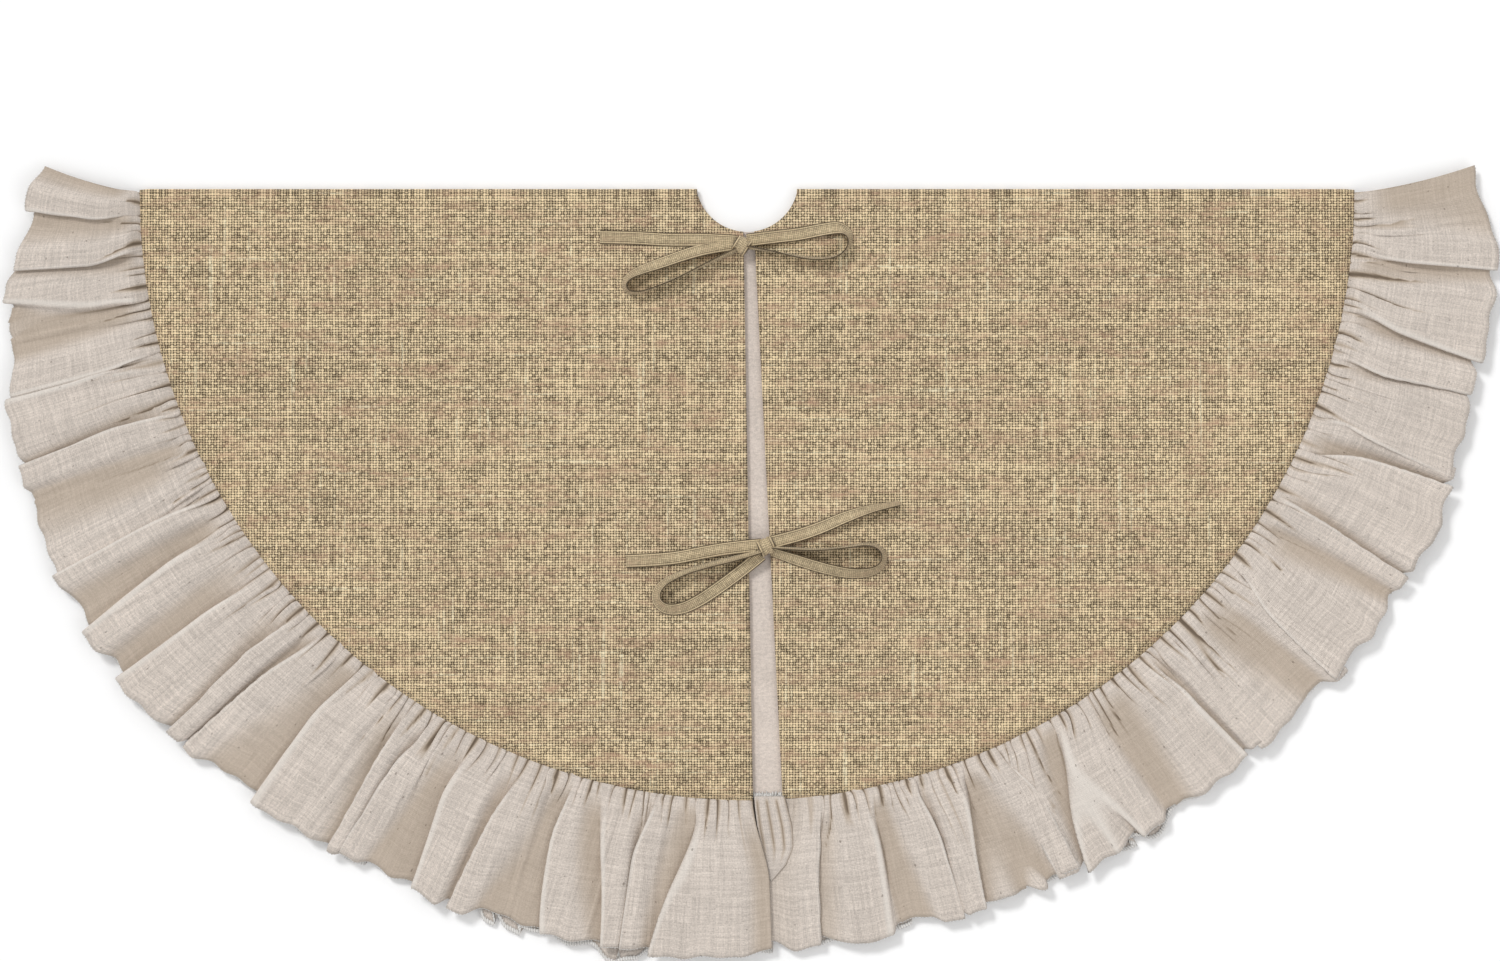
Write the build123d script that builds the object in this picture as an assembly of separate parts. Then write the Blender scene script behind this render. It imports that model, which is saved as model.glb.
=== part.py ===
"""Round two-cloth tree skirt with a gathered ruffle, folded in half and tied with two bows.

Millimetres.  The origin is the centre of the trunk hole, on the floor.  The fold runs along X,
the half-disc reaches toward -Y, and +Z is up.  The front half lies face up on the back half,
which lies face down.  The back half turns about the fold, under the front half, until the whole
skirt is a full circle, face up.
"""
from build123d import *
import math
import os

# Overall sizes.
skirt_diameter = 1244.6
face_diameter = 1024.0
trunk_hole_width = 84.0
trunk_hole_depth = 33.0

# Cloth and the way it lies.
face_thickness = 1.4
lining_thickness = 0.8
back_ruffle_height = 6.6
front_ruffle_height = 9.3
ruffle_edge_drop = 3.0
ruffle_rise = 30.0
fold_bulge = 24.0
bulge_setback = 40.0
bulge_root_angle = 1.0

# The slit, from the trunk hole to the hem, and how far its centre wanders to the right.
slit_gap_at_hole = 9.0
slit_gap_at_hem = 25.0
slit_centre_at_hole = 1.5
slit_centre_at_hem = 17.5
ruffle_end_gap = 3.0

# Clearances.
fold_clearance = 0.3
layer_clearance = 0.3
half_gap = 2.0

# Sewing.
stitch_width = 0.7
stitch_height = 0.5
stitch_inset = 4.0
overlock_depth = 1.0
overlock_height = 2.6

# Ties, which are narrow flat tapes of the face cloth.
tie_width = 12.0
tie_thickness = 1.6
tie_grip = 4.0
loop_height = 10.0
knot_height = 11.0
upper_knot_size = (15.0, 14.0)
lower_knot_size = (16.0, 19.0)
upper_knot_centre = (-4.5, -44.5)
lower_knot_centre = (16.5, -298.0)

# Routes of the ties in plan, from the knot outward.
upper_left_tail_points = [(-9.0, -41.5), (-36.0, -39.5), (-66.0, -40.0), (-96.0, -38.0), (-124.0, -37.5)]
upper_left_loop_points = [
    (-9.0, -43.5), (-29.0, -46.0), (-51.0, -52.0), (-72.0, -59.5), (-88.0, -65.0), (-99.0, -70.0),
    (-104.0, -77.0), (-101.0, -84.0), (-92.0, -85.0), (-75.0, -79.0), (-53.0, -69.5), (-31.0, -58.5), (-9.0, -48.5),
]
upper_right_loop_points = [
    (0.0, -40.5), (22.0, -37.5), (44.0, -35.2), (64.0, -31.0), (78.5, -29.0), (87.0, -35.5),
    (86.0, -46.5), (76.5, -54.0), (60.0, -56.5), (41.0, -54.0), (20.0, -49.0), (0.0, -46.5),
]
lower_left_tail_points = [
    (12.0, -297.0), (-12.0, -299.0), (-38.0, -303.5), (-68.0, -309.5), (-102.0, -310.5),
]
lower_left_loop_points = [
    (12.0, -301.0), (-10.0, -308.5), (-33.0, -314.0), (-56.0, -321.0), (-72.5, -329.5), (-78.0, -341.0),
    (-71.0, -350.5), (-57.5, -351.5), (-42.0, -345.0), (-24.0, -333.0), (-5.0, -319.0), (12.0, -305.0),
]
lower_right_tail_points = [
    (21.0, -294.5), (40.0, -290.0), (62.0, -282.5), (86.0, -272.0), (112.0, -264.5), (129.0, -262.0),
]
lower_right_loop_points = [
    (21.0, -298.5), (42.0, -300.5), (64.0, -301.0), (86.0, -298.5), (103.0, -295.5), (114.5, -300.5),
    (116.0, -311.5), (107.5, -319.5), (89.0, -321.5), (66.0, -317.0), (43.0, -310.0), (21.0, -302.5),
]

# Heights of the stack, from the floor up.
back_face_bottom = stitch_height
back_lining_bottom = back_face_bottom + face_thickness
back_lining_top = back_lining_bottom + lining_thickness
hinge_height = back_lining_top + half_gap / 2
front_lining_bottom = hinge_height + half_gap / 2
front_face_bottom = front_lining_bottom + lining_thickness
front_face_top = front_face_bottom + face_thickness
front_ruffle_bottom = 2 * hinge_height + layer_clearance
front_ruffle_top = front_ruffle_bottom + front_ruffle_height

# Radii.
face_radius = face_diameter / 2
ruffle_radius = skirt_diameter / 2 - overlock_depth
far = skirt_diameter

LEFT, RIGHT = -1, 1


def slit_edge_x(side, y, extra=0.0):
    """X of one edge of the slit at the depth y, moved outward from the slit by extra."""
    share = (-y - trunk_hole_depth) / (face_radius - trunk_hole_depth)
    centre = slit_centre_at_hole + share * (slit_centre_at_hem - slit_centre_at_hole)
    gap = slit_gap_at_hole + share * (slit_gap_at_hem - slit_gap_at_hole)
    return centre + side * (gap / 2 + extra)


def slit_centre_x(y):
    return (slit_edge_x(LEFT, y) + slit_edge_x(RIGHT, y)) / 2


def ring_sector(profile, start_angle, angle):
    """Turn an (r, z) outline about Z through angle degrees, beginning at start_angle."""
    points = [(radius, 0, height) for radius, height in profile]
    outline = make_face(Polyline(*points, close=True).edges())
    return Rot(0, 0, start_angle) * revolve(outline, Axis.Z, angle)


def slab(points, bottom, height):
    """A flat piece with straight edges in plan."""
    outline = make_face(Polyline(*points, close=True).edges())
    return Pos(0, 0, bottom) * extrude(outline, height, dir=(0, 0, 1))


def below_fold(bottom, height):
    """Everything on the skirt's side of the fold, between two heights."""
    return slab([(-far, -fold_clearance), (far, -fold_clearance), (far, -far), (-far, -far)], bottom, height)


def side_of_slit(side, bottom, height, extra=0.0):
    """Everything on one side of the slit, between two heights."""
    return slab(
        [
            (slit_edge_x(side, 0, extra), -fold_clearance),
            (side * far, -fold_clearance),
            (side * far, -far),
            (slit_edge_x(side, -far, extra), -far),
        ],
        bottom,
        height,
    )


def trunk_hole(bottom, height, extra=0.0):
    """The rounded notch that the trunk passes through, in one half, grown by extra."""
    half = trunk_hole_width / 2
    arc_radius = (half**2 + trunk_hole_depth**2) / (2 * trunk_hole_depth)
    centre_y = arc_radius - trunk_hole_depth
    return Pos(0, centre_y, bottom) * extrude(Circle(arc_radius + extra), height)


def half_disc(bottom, height):
    """A half-disc of face size with the trunk notch cut out."""
    disc = Pos(0, 0, bottom) * extrude(Circle(face_radius), height)
    return (disc & below_fold(bottom, height)) - trunk_hole(bottom, height)


def quarter(side, bottom, height):
    """The front half on one side of the slit."""
    return half_disc(bottom, height) & side_of_slit(side, bottom, height)


def back_ruffle(side):
    """The gathered strip round one quarter of the back half, pressed flat under the front."""
    profile = [
        (face_radius, 0),
        (ruffle_radius, 0),
        (ruffle_radius, back_ruffle_height - ruffle_edge_drop),
        (ruffle_radius - ruffle_rise / 2, back_ruffle_height),
        (face_radius + ruffle_rise, back_ruffle_height),
        (face_radius, back_lining_top),
    ]
    ring = ring_sector(profile, 180, 180) & below_fold(0, front_ruffle_top)
    half = slab([(0, 0), (side * far, 0), (side * far, -far), (0, -far)], 0, front_ruffle_top)
    return ring & half


def front_ruffle(side):
    """The gathered strip round one front quarter, which bulges out past the fold."""
    body = [
        (face_radius, front_lining_bottom),
        (face_radius + ruffle_rise, front_ruffle_bottom),
        (ruffle_radius, front_ruffle_bottom),
        (ruffle_radius, front_ruffle_top - ruffle_edge_drop),
        (ruffle_radius - ruffle_rise / 2, front_ruffle_top),
        (face_radius + bulge_setback, front_ruffle_top),
        (face_radius, front_face_top),
    ]
    bulge = [
        (face_radius + bulge_setback, front_ruffle_bottom),
        (ruffle_radius, front_ruffle_bottom),
        (ruffle_radius, front_ruffle_top - ruffle_edge_drop),
        (ruffle_radius - ruffle_rise / 2, front_ruffle_top),
        (face_radius + bulge_setback, front_ruffle_top),
    ]
    bulge_angle = math.degrees(fold_bulge / ruffle_radius)
    start = 180 - bulge_angle if side == LEFT else 360 - bulge_root_angle
    body_solid = ring_sector(body, 180, 180) & side_of_slit(side, 0, 2 * front_ruffle_top, ruffle_trim())
    return body_solid + ring_sector(bulge, start, bulge_angle + bulge_root_angle)


def ruffle_trim():
    """How far each front ruffle's end stands from the slit's edge, which leaves the end gap."""
    return (ruffle_end_gap - slit_gap_at_hem) / 2


def overlock(side, bottom, front):
    """The thread sewn over the outer edge of one ruffle."""
    outer = skirt_diameter / 2
    profile = [
        (ruffle_radius, bottom),
        (outer, bottom),
        (outer, bottom + overlock_height),
        (ruffle_radius, bottom + overlock_height),
    ]
    ring = ring_sector(profile, 180, 180)
    if front:
        return ring & side_of_slit(side, 0, 2 * front_ruffle_top, ruffle_trim())
    half = slab([(0, 0), (side * far, 0), (side * far, -far), (0, -far)], 0, front_ruffle_top)
    return ring & below_fold(0, front_ruffle_top) & half


def seam_thread(side, bottom, front):
    """The line of stitches beside the seam between the face and the ruffle."""
    outer = face_radius - stitch_inset
    ring = extrude(Circle(outer) - Circle(outer - stitch_width), stitch_height)
    ring = Pos(0, 0, bottom) * ring
    if front:
        return ring & side_of_slit(side, bottom, stitch_height, 2 * stitch_inset)
    half = slab([(0, 0), (side * far, 0), (side * far, -far), (0, -far)], bottom, stitch_height)
    return ring & below_fold(bottom, stitch_height) & half


def slit_thread(side):
    """The line of stitches down one edge of the slit."""
    top_y = -trunk_hole_depth - 2 * stitch_inset
    hem_y = -face_radius + 2 * stitch_inset
    near, wide = stitch_inset, stitch_inset + stitch_width
    corners = [
        (slit_edge_x(side, top_y, near), top_y),
        (slit_edge_x(side, top_y, wide), top_y),
        (slit_edge_x(side, hem_y, wide), hem_y),
        (slit_edge_x(side, hem_y, near), hem_y),
    ]
    return slab(corners, front_face_top, stitch_height)


def neck_thread(bottom):
    """The line of stitches round the trunk notch of one half."""
    inner = trunk_hole(bottom, stitch_height, stitch_inset)
    outer = trunk_hole(bottom, stitch_height, stitch_inset + stitch_width)
    return (outer - inner) & below_fold(bottom, stitch_height)


def front_neck_thread(side):
    thread = neck_thread(front_face_top)
    return thread & side_of_slit(side, front_face_top, stitch_height, stitch_inset)


def tape_path(points):
    """Straight runs joined by arcs as large as the two runs beside each corner allow."""
    radii = []
    for before, corner, after in zip(points, points[1:], points[2:]):
        run_in = Vector(*corner) - Vector(*before)
        run_out = Vector(*after) - Vector(*corner)
        half_turn = math.radians(run_in.get_angle(run_out)) / 2
        radii.append(0.45 * min(run_in.length, run_out.length) / math.tan(half_turn))
    return FilletPolyline(*points, radius=radii), radii


def tape(name, points, width, bottom, height):
    """A flat tape that follows its route: width is its size in plan, height its size upright."""
    path, radii = tape_path(points)
    solid = Pos(0, 0, bottom) * extrude(trace(path, width), height, dir=(0, 0, 1))
    print(
        f"{name}: length {path.length:.1f}, smallest radius {min(radii):.1f},",
        f"volume {solid.volume:.0f} against {width * height * path.length:.0f}",
    )
    return solid


def tail(name, points):
    """A free end of a tie, lying flat on the face."""
    return tape(name, points, tie_width, front_face_top + stitch_height + layer_clearance, tie_thickness)


def loop(name, points):
    """A loop of a tie, standing on its edge above the tails."""
    bottom = front_face_top + stitch_height + tie_thickness + 2 * layer_clearance
    return tape(name, points, tie_thickness, bottom, loop_height)


def knot(centre, size):
    """The knot of one bow, a rounded block that bridges the slit."""
    block = extrude(RectangleRounded(*size, min(size) / 3), knot_height)
    block = fillet(block.faces().sort_by(Axis.Z)[-1].edges(), knot_height / 4)
    return Pos(*centre, front_face_top) * block


def make_parts():
    parts = {
        "back_face": half_disc(back_face_bottom, face_thickness),
        "back_lining": half_disc(back_lining_bottom, lining_thickness),
        "back_neck_thread": neck_thread(0),
        "upper_knot": knot(upper_knot_centre, upper_knot_size),
        "lower_knot": knot(lower_knot_centre, lower_knot_size),
    }
    for word, side in (("left", LEFT), ("right", RIGHT)):
        parts[f"front_{word}_face"] = quarter(side, front_face_bottom, face_thickness)
        parts[f"front_{word}_lining"] = quarter(side, front_lining_bottom, lining_thickness)
        parts[f"front_{word}_ruffle"] = front_ruffle(side)
        parts[f"front_{word}_overlock"] = overlock(side, front_ruffle_bottom + overlock_height / 2, True)
        parts[f"front_{word}_seam_thread"] = seam_thread(side, front_face_top, True)
        parts[f"front_{word}_slit_thread"] = slit_thread(side)
        parts[f"front_{word}_neck_thread"] = front_neck_thread(side)
        parts[f"back_{word}_ruffle"] = back_ruffle(side)
        parts[f"back_{word}_overlock"] = overlock(side, stitch_height, False)
        parts[f"back_{word}_seam_thread"] = seam_thread(side, 0, False)
    tails = {
        "upper_left_tail": upper_left_tail_points,
        "lower_left_tail": lower_left_tail_points,
        "lower_right_tail": lower_right_tail_points,
    }
    loops = {
        "upper_left_loop": upper_left_loop_points,
        "upper_right_loop": upper_right_loop_points,
        "lower_left_loop": lower_left_loop_points,
        "lower_right_loop": lower_right_loop_points,
    }
    for name, points in tails.items():
        parts[name] = tail(name, points)
    for name, points in loops.items():
        parts[name] = loop(name, points)
    return parts


os.makedirs("parts", exist_ok=True)
for node, shape in make_parts().items():
    export_step(Compound(label=node, children=list(shape.solids())), f"parts/{node}.step")
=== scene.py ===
"""Looks of the round tree skirt: slubby tan face, pale lining, gathered oatmeal ruffle, two bows."""

import math

import bmesh
import bpy
import numpy as np
from bpy.props import FloatProperty, FloatVectorProperty, PointerProperty
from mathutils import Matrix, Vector


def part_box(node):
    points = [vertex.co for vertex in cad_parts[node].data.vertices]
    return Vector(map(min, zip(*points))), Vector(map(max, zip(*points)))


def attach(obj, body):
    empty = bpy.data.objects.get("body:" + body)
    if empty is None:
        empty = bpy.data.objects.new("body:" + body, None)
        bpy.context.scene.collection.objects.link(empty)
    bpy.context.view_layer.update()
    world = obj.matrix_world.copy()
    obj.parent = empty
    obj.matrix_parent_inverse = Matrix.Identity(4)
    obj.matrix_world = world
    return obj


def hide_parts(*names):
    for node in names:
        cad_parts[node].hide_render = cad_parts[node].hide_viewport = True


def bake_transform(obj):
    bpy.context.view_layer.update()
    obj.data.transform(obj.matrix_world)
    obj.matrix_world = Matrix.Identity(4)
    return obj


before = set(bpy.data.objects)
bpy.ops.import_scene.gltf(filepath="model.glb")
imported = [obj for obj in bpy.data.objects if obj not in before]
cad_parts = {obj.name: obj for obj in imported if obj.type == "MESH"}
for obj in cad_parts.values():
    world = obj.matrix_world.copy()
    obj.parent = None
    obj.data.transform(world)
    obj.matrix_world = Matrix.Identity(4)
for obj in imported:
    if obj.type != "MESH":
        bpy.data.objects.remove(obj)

bl_info = {
    "name": "Tree skirt",
    "version": (1, 0, 0),
    "blender": (4, 5, 0),
    "location": "3D View > Sidebar > Tree skirt",
    "description": "Builds a lined, ruffled tree skirt that is folded in half and tied with bows",
    "category": "Object",
}

LEFT, RIGHT = -1, 1
SIDE_NAMES = {LEFT: "left", RIGHT: "right"}

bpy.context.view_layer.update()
FACE_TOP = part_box("front_left_face")[1][2]
FACE_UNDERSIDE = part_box("front_left_face")[0][2]
BACK_FACE_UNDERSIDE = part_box("back_face")[0][2]
FRONT_LINING_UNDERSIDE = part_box("front_left_lining")[0][2]
BACK_LINING_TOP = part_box("back_lining")[1][2]
FACE_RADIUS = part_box("back_face")[1][0]
HINGE_HEIGHT = (FRONT_LINING_UNDERSIDE + BACK_LINING_TOP) / 2
BACK_RUFFLE_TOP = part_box("back_left_ruffle")[1][2]
PAST_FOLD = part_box("front_left_ruffle")[1][1]

# Sewing, in metres.
FULLNESS = 1.6  # length of ruffle cloth gathered into one length of seam
SEWN_IN = 0.0045  # strip of the ruffle that is inside the seam
SEAM_DROP = 0.0016  # how far the ruffle's seam lies under the top of the face
STITCH_INSET = 0.004  # stitches to the edge beside them
STITCHES_TO_FOLD = 0.005  # end of a line of stitches to the fold
LINING_CLEARANCE = 0.0002  # lining to face
FACE_WAVES = 0.0006  # height of the face's slight waves

# Floor, lights and camera.
FLOOR_SIZE = 14
PAPER_WHITE = (0.985, 0.985, 0.985, 1)
SKY_STRENGTH = 0.68
KEY_FROM, KEY_STRENGTH, KEY_SPREAD = (-0.75, 0.95, 1.25), 1.35, math.radians(14)
FILL_FROM, FILL_TO, FILL_SIZE, FILL_POWER = (2.6, -2.6, 3.4), (0, -0.25, 0), 3.0, 30
CAMERA_PLACE = (0.0025, -0.2426, 5.0)
SENSOR_WIDTH = 36
WIDTH_SEEN = 1.2657  # metres of floor from side to side of the view


class SkirtSizes(bpy.types.PropertyGroup):
    """Sizes that a maker would change."""

    hole_width: FloatProperty(name="Trunk hole width", default=0.084, unit="LENGTH",
                              description="Width of the trunk notch along the fold")
    hole_depth: FloatProperty(name="Trunk hole depth", default=0.033, unit="LENGTH",
                              description="Depth of the trunk notch from the fold")
    slit_gap_at_hole: FloatProperty(name="Slit gap at hole", default=0.009, unit="LENGTH",
                                    description="Gap of the slit at the trunk hole")
    slit_gap_at_hem: FloatProperty(name="Slit gap at hem", default=0.025, unit="LENGTH",
                                   description="Gap of the slit at the edge of the face")
    slit_centre_at_hole: FloatProperty(name="Slit centre at hole", default=0.0015, unit="LENGTH",
                                       description="Sideways place of the slit at the trunk hole")
    slit_centre_at_hem: FloatProperty(name="Slit centre at hem", default=0.0175, unit="LENGTH",
                                      description="Sideways place of the slit at the edge of the face")
    cloth: FloatProperty(name="Face cloth thickness", default=0.0011, unit="LENGTH",
                         description="Thickness of the face cloth")
    lining: FloatProperty(name="Lining thickness", default=0.0006, unit="LENGTH",
                          description="Thickness of the lining cloth")
    ruffle_cloth: FloatProperty(name="Ruffle cloth thickness", default=0.0006, unit="LENGTH",
                                description="Thickness of the ruffle cloth")
    ruffle_depth: FloatProperty(name="Ruffle depth", default=0.128, unit="LENGTH",
                                description="Depth that the ruffle cloth is cut to")
    tape_width: FloatProperty(name="Tie width", default=0.0115, unit="LENGTH",
                              description="Width of the folded ties")
    tape_thickness: FloatProperty(name="Tie thickness", default=0.0011, unit="LENGTH",
                                  description="Thickness of the folded ties")


class SkirtColours(bpy.types.PropertyGroup):
    """Colours of the cloths and threads, with the painted shade and highlight colours of the ruffle."""

    face_light: FloatVectorProperty(name="Face, light threads", subtype="COLOR", default=(0.88, 0.70, 0.44),
                                    description="Light threads of the face cloth")
    face_dark: FloatVectorProperty(name="Face, gaps", subtype="COLOR", default=(0.050, 0.032, 0.014),
                                   description="Dark gaps between threads of the face cloth")
    face_mean: FloatVectorProperty(name="Face, from afar", subtype="COLOR", default=(0.46, 0.37, 0.23),
                                   description="Colour of the face cloth seen from afar")
    face_slub: FloatVectorProperty(name="Face, slubs", subtype="COLOR", default=(0.92, 0.86, 0.62),
                                   description="Pale thick threads of the face cloth")
    face_pink: FloatVectorProperty(name="Face, heather", subtype="COLOR", default=(0.44, 0.27, 0.18),
                                   description="Pinkish-brown threads of the face cloth")
    ruffle_light: FloatVectorProperty(name="Ruffle", subtype="COLOR", default=(0.665, 0.59, 0.525),
                                      description="Oatmeal threads of the ruffle")
    # Painted shade: warm brown laid into the ruffle's creases and recesses in place of their shade.
    ruffle_shade: FloatVectorProperty(name="Ruffle creases", subtype="COLOR", default=(0.39, 0.30, 0.21),
                                     description="Warm brown of the ruffle's creases")
    # Painted shade: darkest brown for the ruffle's deepest creases.
    ruffle_deep_shade: FloatVectorProperty(name="Ruffle, deepest creases", subtype="COLOR", default=(0.10, 0.07, 0.045),
                                    description="Dark brown of the ruffle's deepest creases")
    # Painted highlight: pale colour on the lit edges of the ruffle's pleats.
    ruffle_lit: FloatVectorProperty(name="Ruffle, pleat edges", subtype="COLOR", default=(0.78, 0.73, 0.67),
                                    description="Worn pale edges of the ruffle's pleats")
    lining: FloatVectorProperty(name="Lining", subtype="COLOR", default=(0.675, 0.59, 0.525),
                                description="Pale pinkish lining")
    edge_thread: FloatVectorProperty(name="Overlock thread", subtype="COLOR", default=(0.76, 0.74, 0.71),
                                     description="Pale thread over the ruffle's edge")


def sizes():
    return bpy.context.scene.skirt_sizes


def colours():
    return bpy.context.scene.skirt_colours


# ---------------------------------------------------------------- shape helpers

def smooth(x):
    x = np.clip(x, 0.0, 1.0)
    return x * x * (3 - 2 * x)


def ripple(x, seed, terms=5):
    """Smooth uneven curve between about -1 and 1; x counts in typical wave lengths."""
    rng = np.random.default_rng(seed)
    total = np.zeros_like(np.asarray(x, float))
    for _ in range(terms):
        total += np.sin(2 * math.pi * (x * rng.uniform(0.45, 1.6) + rng.uniform()))
    return total / terms * 1.5


def slit_edge_x(side, y, extra=0.0):
    """X of one edge of the slit at depth y, moved outward from the slit by extra."""
    s = sizes()
    share = (-y - s.hole_depth) / (FACE_RADIUS - s.hole_depth)
    centre = s.slit_centre_at_hole + share * (s.slit_centre_at_hem - s.slit_centre_at_hole)
    gap = s.slit_gap_at_hole + share * (s.slit_gap_at_hem - s.slit_gap_at_hole)
    return centre + side * (gap / 2 + extra)


def hole_arc():
    """(radius, height of centre) of the arc that bounds the trunk notch."""
    half, depth = sizes().hole_width / 2, sizes().hole_depth
    radius = (half * half + depth * depth) / (2 * depth)
    return radius, radius - depth


def slit_corner(side, radius, centre_y=0.0):
    """Where a slit edge meets a circle about (0, centre_y), as an angle about that centre."""
    y = centre_y - radius
    for _ in range(20):
        x = slit_edge_x(side, y)
        y = centre_y - math.sqrt(radius * radius - x * x)
    return math.atan2(y - centre_y, slit_edge_x(side, y))


def grid_faces(rows, columns):
    """Quads of a grid whose points are stored row by row."""
    index = np.arange(rows * columns).reshape(rows, columns)
    quads = np.stack([index[:-1, :-1], index[:-1, 1:], index[1:, 1:], index[1:, :-1]], axis=-1)
    return quads.reshape(-1, 4)


def uv_layer(mesh, name, uv):
    """A set of flat cloth coordinates, given for each point of the mesh."""
    layer = mesh.uv_layers.new(name=name)
    corner = np.empty(len(mesh.loops), int)
    mesh.loops.foreach_get("vertex_index", corner)
    layer.data.foreach_set("uv", uv.reshape(-1, 2)[corner].ravel())


def finished_piece(name, mesh, uv, material):
    """Give a mesh its cloth coordinates, smooth faces and material, and put it in the scene."""
    uv_layer(mesh, "cloth", uv)
    mesh.polygons.foreach_set("use_smooth", np.ones(len(mesh.polygons), bool))
    mesh.materials.append(material)
    piece = bpy.data.objects.new(name, mesh)
    bpy.context.scene.collection.objects.link(piece)
    return piece


def spread(*parts):
    """Stack arrays that fit together into one grid of vectors."""
    return np.stack(np.broadcast_arrays(*parts), axis=-1)


def lengths_along(line):
    """Distance of each point of a line from its start, along the line."""
    return np.concatenate([[0], np.cumsum(np.linalg.norm(np.diff(line, axis=0), axis=1))])


def grid_piece(name, points, uv, material, flip=False):
    """A sheet made of a grid of points (rows, columns, 3) with its own flat cloth coordinates."""
    rows, columns = points.shape[:2]
    quads = grid_faces(rows, columns)
    if flip:
        quads = quads[:, ::-1]
    mesh = bpy.data.meshes.new(name)
    mesh.from_pydata(points.reshape(-1, 3).tolist(), [], quads.tolist())
    return finished_piece(name, mesh, uv, material)


def close_ends(piece, sides):
    """Join the seam of a tube, close its ends and point its faces outward."""
    work = bmesh.new()
    work.from_mesh(piece.data)
    bmesh.ops.remove_doubles(work, verts=work.verts, dist=1e-6)
    bmesh.ops.holes_fill(work, edges=work.edges, sides=sides)
    bmesh.ops.recalc_face_normals(work, faces=work.faces)
    work.to_mesh(piece.data)
    work.free()


def apply_modifiers(piece):
    bpy.ops.object.select_all(action="DESELECT")
    bpy.context.view_layer.objects.active = piece
    piece.select_set(True)
    for modifier in list(piece.modifiers):
        bpy.ops.object.modifier_apply(modifier=modifier.name)


def thicken(piece, thickness):
    """Give a sheet its thickness, into the cloth from its right side."""
    solid = piece.modifiers.new("thickness", "SOLIDIFY")
    solid.thickness = thickness
    solid.offset = -1
    solid.use_even_offset = False
    apply_modifiers(piece)


def point_attribute(piece, name, values):
    attribute = piece.data.attributes.new(name, "FLOAT", "POINT")
    attribute.data.foreach_set("value", np.asarray(values, np.float32).ravel())


# ---------------------------------------------------------------- materials

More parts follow.
